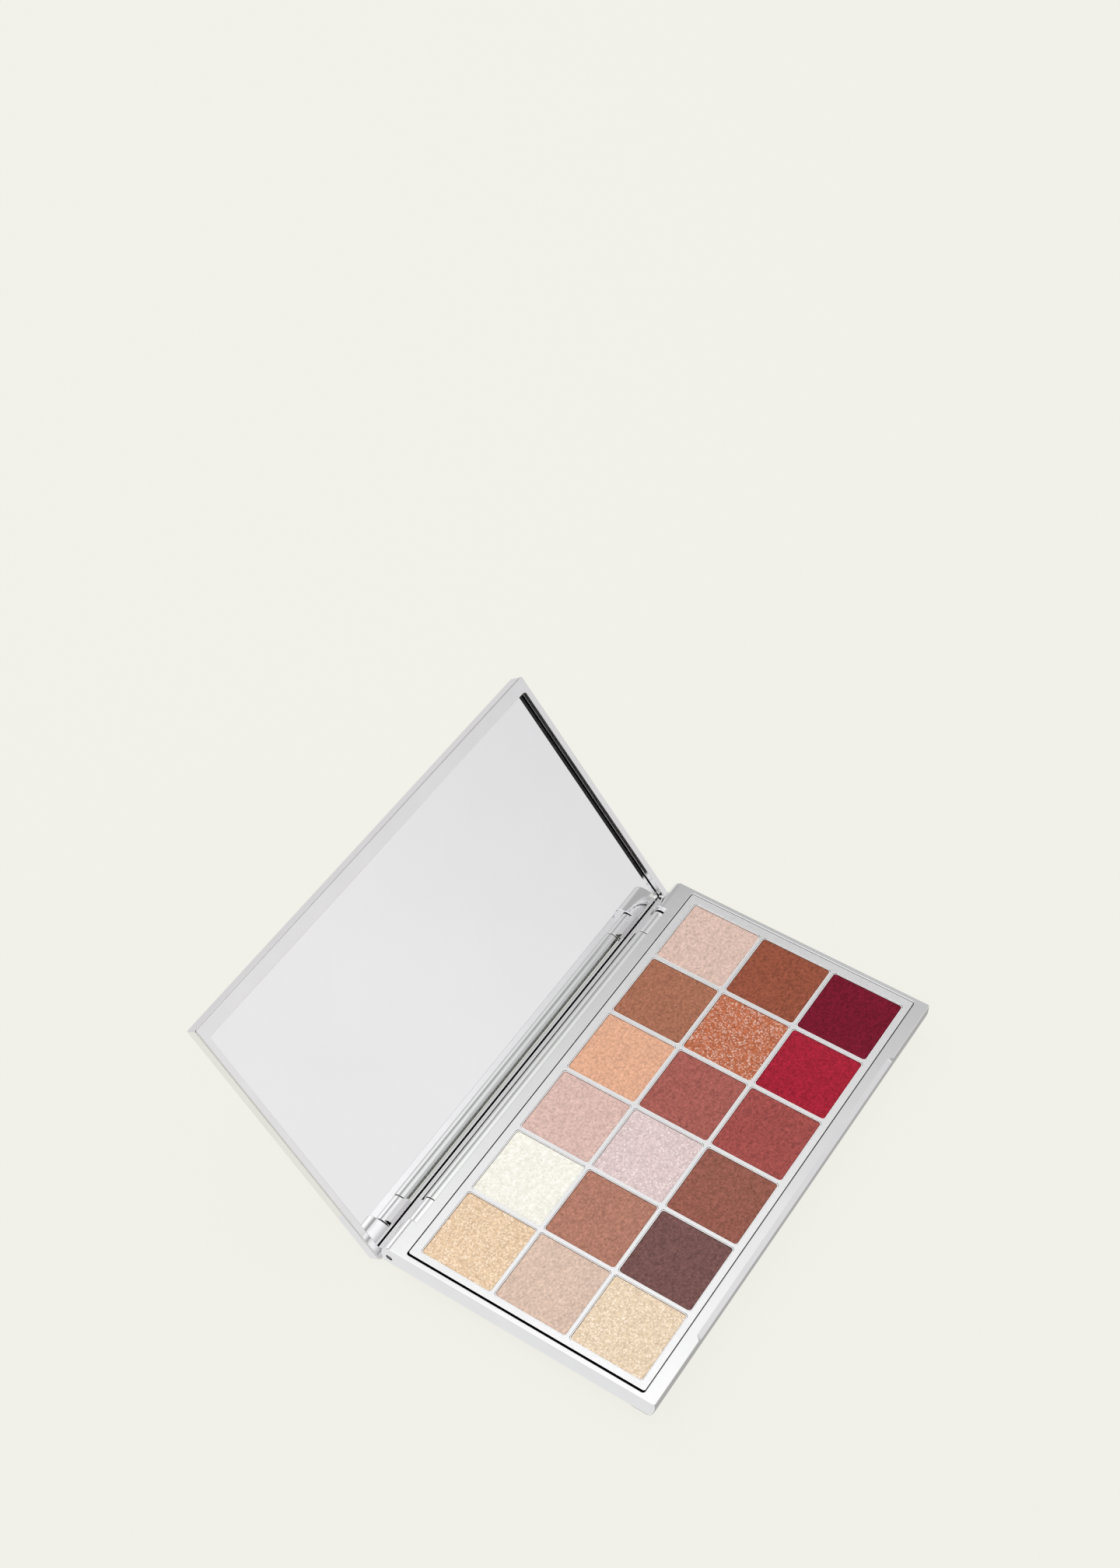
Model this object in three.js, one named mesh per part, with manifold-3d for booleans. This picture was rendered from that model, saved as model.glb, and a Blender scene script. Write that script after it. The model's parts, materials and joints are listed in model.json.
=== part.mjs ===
// Hinged eyeshadow palette: base shell with an inset tray of eighteen pressed
// powders, and a mirrored lid on a two-pin hinge. Millimetres, +Z up.
// Origin: middle of the flat underside. +X runs along the hinge, -Y is the
// opening side. The lid is drawn shut in its own frame and turned open.
import * as THREE from 'three';
import { mergeVertices } from 'three/addons/utils/BufferGeometryUtils.js';
import Module from 'manifold-3d';

const wasm = await Module();
wasm.setup();

// ---- driving dimensions -------------------------------------------------
const HALF_L = 71.4;          // half length of base and lid along the hinge
const FRONT_Y = -41.5;        // front edge of the base
const BASE_H = 12.0;          // underside to rim
const CORNER_R = 1.0;         // plan radius of the outer corners
const SIDE_R = 6.1;           // rounding of the end walls into the underside
const FRONT_R = 9.0;          // rounding of the front wall into the underside
const AXIS_Y = 38.9;          // hinge axis
const AXIS_Z = 7.4;
const REAR_TOP_Y = 38.3;      // where the flat top ends and the rear nose starts
const REAR_TOP_A = 3.2;       // nose half-axis above the hinge axis
const REAR_LOW_Y = 35.9;      // flat underside ends here
const REAR_LOW_A = 5.6;       // nose half-axis below the hinge axis
const NOTCH_HALF = 50.2;      // finger bevel, half length
const NOTCH_IN = 1.3;         // finger bevel, depth in plan
const NOTCH_DOWN = 0.9;       // finger bevel, height

const WELL_HALF_X = 70.0;     // well for the pan tray
const WELL_Y0 = -37.6;
const WELL_Y1 = 34.1;
const WELL_Z = 5.2;           // ledge that carries the tray
const CORE_HALF_X = 63.0;     // cored space under the tray
const CORE_Y0 = -31.5;
const CORE_Y1 = 28.5;
const CORE_Z = 2.2;

const TRAY_HALF_X = 69.5;
const TRAY_Y0 = -37.4;
const TRAY_Y1 = 33.9;
const TRAY_Z0 = 5.5;
const TRAY_Z1 = 11.8;

const PITCH = 22.62;          // pan spacing both ways
const GRID_Y = -2.0;          // middle of the grid
const PAN_CUT = 21.8;         // pocket in the tray
const PAN_OUT = 21.7;
const PAN_IN = 21.3;
const POWDER = 21.2;
const PAN_R = 0.9;            // corner radius
const POCKET_Z = 7.9;
const PAN_FLOOR = 0.4;
const PAN_TOP = 11.62;
const POWDER_TOP = 11.5;

const TROUGH_HALF = 60.95;    // hinge trough between the end blocks
const TROUGH_LIP = 37.2;
const CHANNEL_R = 2.9;
const BARREL_R = 2.6;
const BARREL_HALF = 51.9;
const KNUCKLE_R = 2.4;
const KNUCKLE_X0 = 52.2;
const KNUCKLE_X1 = 60.6;
const PIN_R = 0.92;
const PIN_HOLE_R = 1.0;
const PIN_X0 = 45.0;
const PIN_X1 = 69.8;

const OPEN_DEG = 127.8;       // lid angle at rest, 0 is shut
const RIM_N = 4.75;           // hinge axis to the lid's rim plane
const LID_T = 5.0;            // lid thickness
const LID_BACK = 1.4;         // hinge end of the lid behind the axis
const LID_FRONT = -80.1;      // free end of the lid
const LID_RIM = 1.9;          // side rims
const LID_RIM_FREE = 3.8;     // rim at the free end
const LIP_T = 0.45;           // thickness of the frame's flange at its edge
const MIRROR_DROP = 2.1;      // mirror face below the rim
const MIRROR_T = 0.8;
const GAP = 0.3;

// ---- helpers --------------------------------------------------------------
const v2 = (x, y) => new THREE.Vector2(x, y);

function solid(geometry) {
  let g = geometry.clone();
  g.deleteAttribute('normal');
  g.deleteAttribute('uv');
  g = mergeVertices(g, 1e-5);
  return new wasm.Manifold(new wasm.Mesh({
    numProp: 3,
    vertProperties: new Float32Array(g.attributes.position.array),
    triVerts: new Uint32Array(g.index.array),
  }));
}

function geometryOf(manifold) {
  const m = manifold.getMesh();
  const g = new THREE.BufferGeometry();
  g.setAttribute('position', new THREE.BufferAttribute(new Float32Array(m.vertProperties), 3));
  g.setIndex(new THREE.BufferAttribute(new Uint32Array(m.triVerts), 1));
  return g;
}

// corner points of a rounded rectangle, counter-clockwise
function rrect(x0, x1, y0, y1, r, seg) {
  const pts = [];
  const c = [[x1 - r, y1 - r, 0], [x0 + r, y1 - r, 90], [x0 + r, y0 + r, 180], [x1 - r, y0 + r, 270]];
  for (const [cx, cy, a0] of c) {
    for (let i = 0; i <= seg; i++) {
      const a = THREE.MathUtils.degToRad(a0 + (90 * i) / seg);
      pts.push(v2(cx + r * Math.cos(a), cy + r * Math.sin(a)));
    }
  }
  return pts;
}

// straight prism of a plan outline between two heights
function prism(pts, z0, z1) {
  const g = new THREE.ExtrudeGeometry(new THREE.Shape(pts), { depth: z1 - z0, bevelEnabled: false, steps: 1 });
  g.translate(0, 0, z0);
  return g;
}

const box = (x0, x1, y0, y1, z0, z1) => {
  const g = new THREE.BoxGeometry(x1 - x0, y1 - y0, z1 - z0);
  g.translate((x0 + x1) / 2, (y0 + y1) / 2, (z0 + z1) / 2);
  return g;
};

// prism along X of an outline given as (y, z) points
function prismX(pts, x0, x1) {
  const g = new THREE.ExtrudeGeometry(new THREE.Shape(pts), { depth: x1 - x0, bevelEnabled: false, steps: 1 });
  // local x,y,z -> world y,z,x
  g.applyMatrix4(new THREE.Matrix4().set(0, 0, 1, x0, 1, 0, 0, 0, 0, 1, 0, 0, 0, 0, 0, 1));
  return g;
}

function rodX(r, x0, x1, y, z, seg = 20) {
  const g = new THREE.CylinderGeometry(r, r, x1 - x0, seg, 1);
  g.rotateZ(-Math.PI / 2);
  g.translate((x0 + x1) / 2, y, z);
  return g;
}

// closed solid through a stack of equal outlines
function loft(rings) {
  const n = rings[0].pts.length;
  const pos = [];
  for (const ring of rings) for (const p of ring.pts) pos.push(p.x, p.y, ring.z);
  const idx = [];
  for (let k = 0; k + 1 < rings.length; k++) {
    for (let i = 0; i < n; i++) {
      const a = k * n + i;
      const b = k * n + ((i + 1) % n);
      idx.push(a, b, b + n, a, b + n, a + n);
    }
  }
  const top = (rings.length - 1) * n;
  for (let i = 1; i + 1 < n; i++) {
    idx.push(0, i + 1, i);
    idx.push(top, top + i, top + i + 1);
  }
  const g = new THREE.BufferGeometry();
  g.setAttribute('position', new THREE.BufferAttribute(new Float32Array(pos), 3));
  g.setIndex(idx);
  return g;
}

const metal = (c, r = 0.25) => new THREE.MeshStandardMaterial({ color: c, roughness: r, metalness: 1 });
const matte = (c, r = 0.8) => new THREE.MeshStandardMaterial({ color: c, roughness: r, metalness: 0 });

const palette = new THREE.Group();
palette.name = 'eyeshadow_palette';
const add = (parent, name, geometry, material) => {
  const m = new THREE.Mesh(geometry, material);
  m.name = name;
  parent.add(m);
  return m;
};

// ---- base shell -------------------------------------------------------------
const quarter = (r, z) => (z >= r ? 0 : r - Math.sqrt(r * r - (r - z) * (r - z)));
const rearY = (z) => (z >= AXIS_Z
  ? REAR_TOP_Y + REAR_TOP_A * Math.sqrt(Math.max(0, 1 - ((z - AXIS_Z) / (BASE_H - AXIS_Z)) ** 2))
  : REAR_LOW_Y + REAR_LOW_A * Math.sqrt(Math.max(0, 1 - ((AXIS_Z - z) / AXIS_Z) ** 2)));
const levels = [0, 0.12, 0.5, 1.1, 1.9, 2.9, 4.0, 5.2, 6.3, 7.4, 8.6, 9.6, 10.4, 11.0, 11.4, 11.7, 11.88, 12.0];
const rings = levels.map((z) => {
  const edge = z > 11.8 ? 0.2 * ((z - 11.8) / 0.2) : 0;
  const sx = quarter(SIDE_R, z) + edge;
  const hx = HALF_L - sx;
  const y0 = FRONT_Y + quarter(FRONT_R, z) + edge;
  return { z, pts: rrect(-hx, hx, y0, rearY(z), CORNER_R + 0.4 * quarter(SIDE_R, z), 3) };
});
let shell = solid(loft(rings));
shell = shell.subtract(solid(prism(rrect(-WELL_HALF_X, WELL_HALF_X, WELL_Y0, WELL_Y1, 0.8, 2), WELL_Z, BASE_H + 2)));
shell = shell.subtract(solid(prism(rrect(-CORE_HALF_X, CORE_HALF_X, CORE_Y0, CORE_Y1, 3, 3), CORE_Z, WELL_Z + 1)));
// hinge trough: lip, round channel, open rear
const a0 = Math.PI - Math.acos((AXIS_Y - TROUGH_LIP) / CHANNEL_R);
const trough = [v2(TROUGH_LIP, BASE_H + 2), v2(TROUGH_LIP, AXIS_Z + CHANNEL_R * Math.sin(a0))];
for (let i = 1; i <= 10; i++) {
  const a = a0 + ((1.5 * Math.PI - a0) * i) / 10;
  trough.push(v2(AXIS_Y + CHANNEL_R * Math.cos(a), AXIS_Z + CHANNEL_R * Math.sin(a)));
}
trough.push(v2(43.0, AXIS_Z - CHANNEL_R - 2.65), v2(43.0, BASE_H + 2));
shell = shell.subtract(solid(prismX(trough, -TROUGH_HALF, TROUGH_HALF)));
// finger bevel along the front edge
const k = NOTCH_DOWN / NOTCH_IN;
shell = shell.subtract(solid(prismX([
  v2(FRONT_Y - 1, BASE_H + 1),
  v2(FRONT_Y - 1, BASE_H - NOTCH_DOWN - k),
  v2(FRONT_Y + NOTCH_IN + 1 / k, BASE_H + 1),
], -NOTCH_HALF, NOTCH_HALF)));
// pin holes through the end blocks, and magnet pockets behind the front wall
for (const s of [-1, 1]) {
  shell = shell.subtract(solid(rodX(PIN_HOLE_R, s > 0 ? TROUGH_HALF - 1 : -HALF_L - 1, s > 0 ? HALF_L + 1 : -TROUGH_HALF + 1, AXIS_Y, AXIS_Z, 20)));
  shell = shell.subtract(solid(box(s * 40 - 5.3, s * 40 + 5.3, -40.1, WELL_Y0 + 0.5, 8.9, 11.5)));
}
add(palette, 'base_shell', geometryOf(shell), metal(0xd6d6d8));

// ---- adhesive frame under the tray --------------------------------------------
add(palette, 'tray_adhesive', geometryOf(
  solid(box(-68.4, 68.4, -36.4, 32.9, WELL_Z, TRAY_Z0)).subtract(solid(box(-64.4, 64.4, -32.6, 29.4, WELL_Z - 1, TRAY_Z0 + 1))),
), matte(0xe8e6df));

// ---- pan tray -------------------------------------------------------------------
let tray = solid(prism(rrect(-TRAY_HALF_X, TRAY_HALF_X, TRAY_Y0, TRAY_Y1, 0.6, 2), TRAY_Z0, TRAY_Z1));
const centres = [];
for (let row = 0; row < 3; row++) {
  for (let col = 0; col < 6; col++) {
    centres.push({ row, col, x: (col - 2.5) * PITCH, y: GRID_Y + (1 - row) * PITCH });
  }
}
const sq = (c, s, r) => rrect(c.x - s / 2, c.x + s / 2, c.y - s / 2, c.y + s / 2, r, 2);
for (const c of centres) tray = tray.subtract(solid(prism(sq(c, PAN_CUT, PAN_R + 0.05), POCKET_Z, TRAY_Z1 + 1)));
add(palette, 'pan_tray', geometryOf(tray), metal(0xdcdce0, 0.3));

// ---- pans and powders -----------------------------------------------------------
const shades = [
  ['gold', 0xe5be8e], ['ivory', 0xfaf4e4], ['mauve', 0xd0b6ae], ['peach', 0xe2a882], ['umber', 0xa66a50], ['blush', 0xdabeae],
  ['beige', 0xd4bcaa], ['sienna', 0xa46c5a], ['silver_pink', 0xd6c8c8], ['terracotta', 0xa0544e], ['copper', 0xc87850], ['chestnut', 0x98563e],
  ['champagne', 0xf0d7af], ['plum', 0x6e504e], ['cocoa', 0x945a4a], ['brick', 0x984846], ['crimson', 0xac1c30], ['burgundy', 0x80182c],
];
centres.forEach((c, i) => {
  const [name, colour] = shades[i];
  const tag = `r${c.row + 1}c${c.col + 1}`;
  const cup = solid(prism(sq(c, PAN_OUT, PAN_R), POCKET_Z, PAN_TOP))
    .subtract(solid(prism(sq(c, PAN_IN, PAN_R - 0.15), POCKET_Z + PAN_FLOOR, PAN_TOP + 1)));
  add(palette, `pan_${tag}`, geometryOf(cup), metal(0xc8c8ca, 0.35));
  add(palette, `powder_${tag}_${name}`, geometryOf(
    solid(prism(sq(c, POWDER, PAN_R - 0.2), POCKET_Z + PAN_FLOOR, POWDER_TOP)),
  ), matte(colour, 0.85));
});

// ---- hinge barrel, pins, base magnets -----------------------------------------
let barrel = solid(rodX(BARREL_R, -BARREL_HALF, BARREL_HALF, AXIS_Y, AXIS_Z, 32))
  .add(solid(box(-BARREL_HALF, BARREL_HALF, AXIS_Y - 0.6, AXIS_Y + 0.4, 4.62, 6)));
for (const s of [-1, 1]) {
  barrel = barrel.subtract(solid(rodX(PIN_HOLE_R, s > 0 ? 43.9 : -BARREL_HALF - 1, s > 0 ? BARREL_HALF + 1 : -43.9, AXIS_Y, AXIS_Z, 20)));
}
add(palette, 'hinge_barrel', geometryOf(barrel), metal(0xcfd0d2, 0.12));
for (const [side, s] of [['left', -1], ['right', 1]]) {
  add(palette, `hinge_pin_${side}`, rodX(PIN_R, s > 0 ? PIN_X0 : -PIN_X1, s > 0 ? PIN_X1 : -PIN_X0, AXIS_Y, AXIS_Z, 16), metal(0x8f9194, 0.3));
  add(palette, `base_magnet_${side}`, box(s * 40 - 5, s * 40 + 5, -39.8, -38.4, 9.2, 11.2), metal(0x9a9a9c, 0.4));
}

// ---- lid, drawn shut about the hinge axis ---------------------------------------
const lid = new THREE.Group();
lid.position.set(0, AXIS_Y, AXIS_Z);
lid.rotation.x = THREE.MathUtils.degToRad(-OPEN_DEG);
palette.add(lid);

const RIM = RIM_N;                         // rim plane height over the axis, lid shut
const OUT = RIM_N + LID_T;                 // outer face
const openX = HALF_L - LID_RIM;
const openY0 = LID_FRONT + LID_RIM_FREE;
const openY1 = LID_BACK - 2.15;

// frame with flange, deep lip, mirror opening and hinge arms
let frame = solid(prism(rrect(-HALF_L, HALF_L, LID_FRONT, LID_BACK, CORNER_R, 3), RIM, RIM + LIP_T))
  .add(solid(prism(rrect(-HALF_L + 1, HALF_L - 1, LID_FRONT + 1, LID_BACK - 1, 0.5, 2), RIM + LIP_T / 2, RIM + 3.5)))
  .subtract(solid(prism(rrect(-openX, openX, openY0, openY1, 0.6, 2), RIM - 1, RIM + 5)));
for (const s of [-1, 1]) {
  const x0 = s > 0 ? KNUCKLE_X0 : -KNUCKLE_X1;
  const x1 = s > 0 ? KNUCKLE_X1 : -KNUCKLE_X0;
  frame = frame.add(solid(rodX(KNUCKLE_R, x0, x1, 0, 0, 28)))
    .add(solid(box(x0, x1, -1.5, LID_BACK, 0, RIM + 0.3)))
    .subtract(solid(rodX(PIN_HOLE_R, x0 - 1, x1 + 1, 0, 0, 20)))
    .subtract(solid(box(s * 40 - 5.3, s * 40 + 5.3, -78.7, -76.7, RIM + 0.75, RIM + 5)));
}
add(lid, 'lid_frame', geometryOf(frame), metal(0xd8d8da));

// outer cover, a shallow tray whose broad face has softened edges
const coverRings = [[RIM + LIP_T + GAP, 0], [OUT - 0.8, 0], [OUT - 0.5, 0.06], [OUT - 0.22, 0.24], [OUT - 0.06, 0.5], [OUT, 0.8]]
  .map(([z, e]) => ({ z, pts: rrect(-HALF_L + e, HALF_L - e, LID_FRONT + e, LID_BACK - e, CORNER_R, 3) }));
add(lid, 'lid_cover', geometryOf(
  solid(loft(coverRings)).subtract(solid(prism(rrect(-HALF_L + 0.7, HALF_L - 0.7, LID_FRONT + 0.7, LID_BACK - 0.7, 0.6, 2), RIM, RIM + 3.8))),
), metal(0xd2d2d4));

add(lid, 'mirror', prism(rrect(-openX + GAP, openX - GAP, openY0 + GAP, openY1 - GAP, 0.4, 2), RIM + MIRROR_DROP, RIM + MIRROR_DROP + MIRROR_T), metal(0xf0f0f2, 0.02));
add(lid, 'mirror_adhesive', box(-66, 66, -73, -4, RIM + 3.2, RIM + 3.5), matte(0xe8e6df));
for (const [side, s] of [['left', -1], ['right', 1]]) {
  add(lid, `lid_magnet_${side}`, box(s * 40 - 5, s * 40 + 5, -78.4, -77.0, RIM + 1.05, RIM + 3.05), metal(0x9a9a9c, 0.4));
}

export default palette;
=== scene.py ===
import json
import math

import bpy
from mathutils import Matrix, Vector, noise


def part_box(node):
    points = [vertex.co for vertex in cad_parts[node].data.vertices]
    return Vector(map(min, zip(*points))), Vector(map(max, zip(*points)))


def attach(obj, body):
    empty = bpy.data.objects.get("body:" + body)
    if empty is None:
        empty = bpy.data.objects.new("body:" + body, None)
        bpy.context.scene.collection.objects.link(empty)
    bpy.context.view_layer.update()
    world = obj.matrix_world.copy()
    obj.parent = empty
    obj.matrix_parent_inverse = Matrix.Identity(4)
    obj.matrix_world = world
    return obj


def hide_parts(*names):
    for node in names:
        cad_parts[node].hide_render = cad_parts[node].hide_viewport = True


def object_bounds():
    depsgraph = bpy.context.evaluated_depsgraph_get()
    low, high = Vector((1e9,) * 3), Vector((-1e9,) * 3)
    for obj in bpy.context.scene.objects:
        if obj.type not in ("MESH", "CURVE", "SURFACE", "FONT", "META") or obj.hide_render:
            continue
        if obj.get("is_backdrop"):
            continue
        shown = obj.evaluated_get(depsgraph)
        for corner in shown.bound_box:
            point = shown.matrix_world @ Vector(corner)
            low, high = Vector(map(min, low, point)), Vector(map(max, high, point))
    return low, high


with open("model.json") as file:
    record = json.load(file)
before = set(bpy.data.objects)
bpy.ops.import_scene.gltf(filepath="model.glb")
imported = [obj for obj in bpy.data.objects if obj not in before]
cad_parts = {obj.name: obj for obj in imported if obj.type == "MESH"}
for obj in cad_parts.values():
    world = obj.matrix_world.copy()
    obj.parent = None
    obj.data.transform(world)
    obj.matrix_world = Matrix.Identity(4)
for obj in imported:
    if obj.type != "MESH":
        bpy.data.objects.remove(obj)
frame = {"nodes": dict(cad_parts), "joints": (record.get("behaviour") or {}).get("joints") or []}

scene = bpy.context.scene
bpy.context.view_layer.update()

# ---------------------------------------------------------------------------
# dimensions, in millimetres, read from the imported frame
# ---------------------------------------------------------------------------
MM = 0.001


def box_mm(node):
    lo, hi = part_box(node)
    return lo * 1000.0, hi * 1000.0


shell_lo, shell_hi = box_mm("base_shell")
HALF_L = shell_hi.x
FRONT_Y = shell_lo.y
REAR_Y = shell_hi.y
BASE_H = shell_hi.z
tray_lo, tray_hi = box_mm("pan_tray")
barrel_lo, barrel_hi = box_mm("hinge_barrel")
hinge = frame["joints"][0]
AXIS_Y = hinge["pos_m"][1] * 1000.0
AXIS_Z = hinge["pos_m"][2] * 1000.0
OPEN = math.radians(hinge["range_deg"][1])
LID = Matrix.Translation((0, AXIS_Y, AXIS_Z)) @ Matrix.Rotation(-OPEN, 4, "X")
LID_INV = LID.inverted()


def lid_box(node):
    """Box of a lid node in the lid's own shut frame, about the hinge axis."""
    pts = [LID_INV @ (v.co * 1000.0) for v in frame["nodes"][node].data.vertices]
    return (Vector([min(p[i] for p in pts) for i in range(3)]), Vector([max(p[i] for p in pts) for i in range(3)]))


frame_lo, frame_hi = lid_box("lid_frame")
cover_lo, cover_hi = lid_box("lid_cover")
glass_lo, glass_hi = lid_box("mirror")

CORNER_R, SIDE_R, FRONT_R = 0.55, 6.1, 9.7
REAR_TOP_Y, REAR_TOP_A, REAR_LOW_Y, REAR_LOW_A = 38.3, 3.2, 35.9, 5.6
WELL = (-70.0, 70.0, -37.6, 34.1, 5.2)
TROUGH_HALF, TROUGH_LIP, CHANNEL_R = 60.95, 37.2, 2.9
PITCH, GRID_Y = 22.62, -2.0


# ---------------------------------------------------------------------------
# mesh helpers: everything is made in millimetres and scaled once at the end
# ---------------------------------------------------------------------------
def new_object(name, verts, faces):
    me = bpy.data.meshes.new(name)
    me.from_pydata([tuple(v) for v in verts], [], faces)
    me.validate()
    me.update()
    o = bpy.data.objects.new(name, me)
    scene.collection.objects.link(o)
    return o


def rrect(x0, x1, y0, y1, r, seg):
    pts = []
    for cx, cy, a0 in ((x1 - r, y1 - r, 0), (x0 + r, y1 - r, 90), (x0 + r, y0 + r, 180), (x1 - r, y0 + r, 270)):
        for i in range(seg + 1):
            a = math.radians(a0 + 90 * i / seg)
            pts.append((cx + r * math.cos(a), cy + r * math.sin(a)))
    return pts


def loft(name, rings):
    """Closed solid through equal rings of 3-D points, with flat ends."""
    n = len(rings[0])
    verts = [p for ring in rings for p in ring]
    faces = []
    for k in range(len(rings) - 1):
        for i in range(n):
            a, b = k * n + i, k * n + (i + 1) % n
            faces.append((a, b, b + n, a + n))
    faces.append(tuple(range(n - 1, -1, -1)))
    top = (len(rings) - 1) * n
    faces.append(tuple(top + i for i in range(n)))
    return new_object(name, verts, faces)


def loft_z(name, levels):
    return loft(name, [[(x, y, z) for x, y in pts] for z, pts in levels])


def loft_x(name, sections):
    """sections: (x, [(y, z) ...]) in rising x, outlines counter-clockwise seen from +X."""
    return loft(name, [[(x, y, z) for y, z in pts] for x, pts in sections])


def circle(r, n, y=0.0, z=0.0):
    return [(y + r * math.cos(2 * math.pi * i / n), z + r * math.sin(2 * math.pi * i / n)) for i in range(n)]


def fillet(e, n):
    """(inset, drop) pairs of a quarter-round edge, from the flat face to the wall."""
    return [(e * (1 - math.sin(math.pi / 2 * i / n)), e * (1 - math.cos(math.pi / 2 * i / n))) for i in range(n + 1)]


def rod(name, r, x0, x1, y, z, n=96, e=0.25, seg=5, e1=None):
    secs = []
    for ins, drop in fillet(e, seg):
        secs.append((x0 + drop, circle(r - ins, n, y, z)))
    for ins, drop in reversed(fillet(e if e1 is None else e1, seg)):
        secs.append((x1 - drop, circle(r - ins, n, y, z)))
    return loft_x(name, secs)


def baked(o):
    dg = bpy.context.evaluated_depsgraph_get()
    me = bpy.data.meshes.new_from_object(o.evaluated_get(dg))
    o.modifiers.clear()
    old = o.data
    o.data = me
    bpy.data.meshes.remove(old)
    me.name = o.name


def boolean(o, op, *others):
    for c in others:
        m = o.modifiers.new("bool", "BOOLEAN")
        m.operation = op
        m.solver = "EXACT"
        m.object = c
        baked(o)
        bpy.data.objects.remove(c)
    return o


def cut(o, *cutters):
    return boolean(o, "DIFFERENCE", *cutters)


def join(o, *parts):
    return boolean(o, "UNION", *parts)


def bevel(o, width, segments=3, angle=40):
    m = o.modifiers.new("bevel", "BEVEL")
    m.width = width
    m.segments = segments
    m.limit_method = "ANGLE"
    m.angle_limit = math.radians(angle)
    m.miter_outer = "MITER_ARC"
    baked(o)
    return o


def finish_piece(o, body, material, replaces=(), lid=False, sharp=40, weighted=True):
    me = o.data
    me.transform(Matrix.Scale(MM, 4) @ (LID if lid else Matrix.Identity(4)))
    me.update()
    for p in me.polygons:
        p.use_smooth = True
    me.set_sharp_from_angle(angle=math.radians(sharp))
    me.materials.clear()
    me.materials.append(material)
    if weighted:
        w = o.modifiers.new("normals", "WEIGHTED_NORMAL")
        w.mode = "FACE_AREA"
        w.weight = 60
        w.keep_sharp = True
    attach(o, body)
    if replaces:
        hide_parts(*replaces)
    return o


# ---------------------------------------------------------------------------
# materials
# ---------------------------------------------------------------------------
def lin(c):
    return tuple((x / 12.92 if x <= 0.04045 else ((x + 0.055) / 1.055) ** 2.4) for x in (v / 255.0 for v in c))


class Mat:
    """A node material whose coordinates are the object's own, in millimetres."""

    def __init__(self, name):
        self.mat = bpy.data.materials.new(name)
        self.mat.use_nodes = True
        self.nt = self.mat.node_tree
        self.nt.nodes.clear()
        self.out = self.add("ShaderNodeOutputMaterial")
        self.bsdf = self.add("ShaderNodeBsdfPrincipled")
        self.link(self.bsdf.outputs[0], self.out.inputs[0])
        self.coord = self.add("ShaderNodeTexCoord").outputs["Object"]

    def add(self, kind, **props):
        n = self.nt.nodes.new(kind)
        for k, v in props.items():
            setattr(n, k, v)
        return n

    def link(self, a, b):
        self.nt.links.new(a, b)

    def set(self, **values):
        for k, v in values.items():
            self.bsdf.inputs[k.replace("_", " ")].default_value = v

    def mapped(self, scale):
        m = self.add("ShaderNodeMapping")
        m.inputs["Scale"].default_value = scale if isinstance(scale, tuple) else (scale,) * 3
        self.link(self.coord, m.inputs["Vector"])
        return m.outputs[0]

    def noise(self, size_mm, detail=2.0, rough=0.5, stretch=(1, 1, 1), distortion=0.0):
        """Noise whose features are about size_mm across."""
        n = self.add("ShaderNodeTexNoise")
        s = 1000.0 / size_mm
        self.link(self.mapped((s / stretch[0], s / stretch[1], s / stretch[2])), n.inputs["Vector"])
        n.inputs["Scale"].default_value = 1.0
        n.inputs["Detail"].default_value = detail
        n.inputs["Roughness"].default_value = rough
        n.inputs["Distortion"].default_value = distortion
        return n.outputs["Fac"]

    def voronoi(self, size_mm, output="Color", feature="F1"):
        n = self.add("ShaderNodeTexVoronoi", feature=feature)
        self.link(self.mapped(1000.0 / size_mm), n.inputs["Vector"])
        n.inputs["Scale"].default_value = 1.0
        return n.outputs[output]

    def ramp(self, fac, lo, hi, from_lo=0.3, from_hi=0.7):
        m = self.add("ShaderNodeMapRange")
        m.inputs["From Min"].default_value = from_lo
        m.inputs["From Max"].default_value = from_hi
        m.inputs["To Min"].default_value = lo
        m.inputs["To Max"].default_value = hi
        self.link(fac, m.inputs["Value"])
        return m.outputs["Result"]

    def mix(self, fac, a, b, blend="MIX"):
        m = self.add("ShaderNodeMix", data_type="RGBA", blend_type=blend)
        for sock, v in ((m.inputs[0], fac), (m.inputs[6], a), (m.inputs[7], b)):
            if isinstance(v, bpy.types.NodeSocket):
                self.link(v, sock)
            elif isinstance(v, (int, float)):
                sock.default_value = v
            else:
                sock.default_value = (*v, 1.0)
        return m.outputs[2]

    def math(self, op, a, b=0.0):
        m = self.add("ShaderNodeMath", operation=op)
        for sock, v in ((m.inputs[0], a), (m.inputs[1], b)):
            if isinstance(v, bpy.types.NodeSocket):
                self.link(v, sock)
            else:
                sock.default_value = v
        return m.outputs[0]

    def axis(self, k):
        """One coordinate of the object, in millimetres."""
        sep = self.add("ShaderNodeSeparateXYZ")
        self.link(self.coord, sep.inputs[0])
        return self.math("MULTIPLY", sep.outputs[k], 1000.0)

    def below(self, k, value, soft=0.05):
        """1 where a coordinate is below a value, in millimetres."""
        return self.ramp(self.axis(k), 1.0, 0.0, value - soft, value + soft)

    def colour(self, sock):
        self.link(sock, self.bsdf.inputs["Base Color"])

    def roughness(self, sock):
        self.link(sock, self.bsdf.inputs["Roughness"])

    def bump(self, height, distance_mm, strength=1.0, under=None):
        b = self.add("ShaderNodeBump")
        b.inputs["Strength"].default_value = strength
        b.inputs["Distance"].default_value = distance_mm * MM
        self.link(height, b.inputs["Height"])
        if under is not None:
            self.link(under, b.inputs["Normal"])
        self.link(b.outputs[0], self.bsdf.inputs["Normal"])
        return b.outputs[0]


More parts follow.
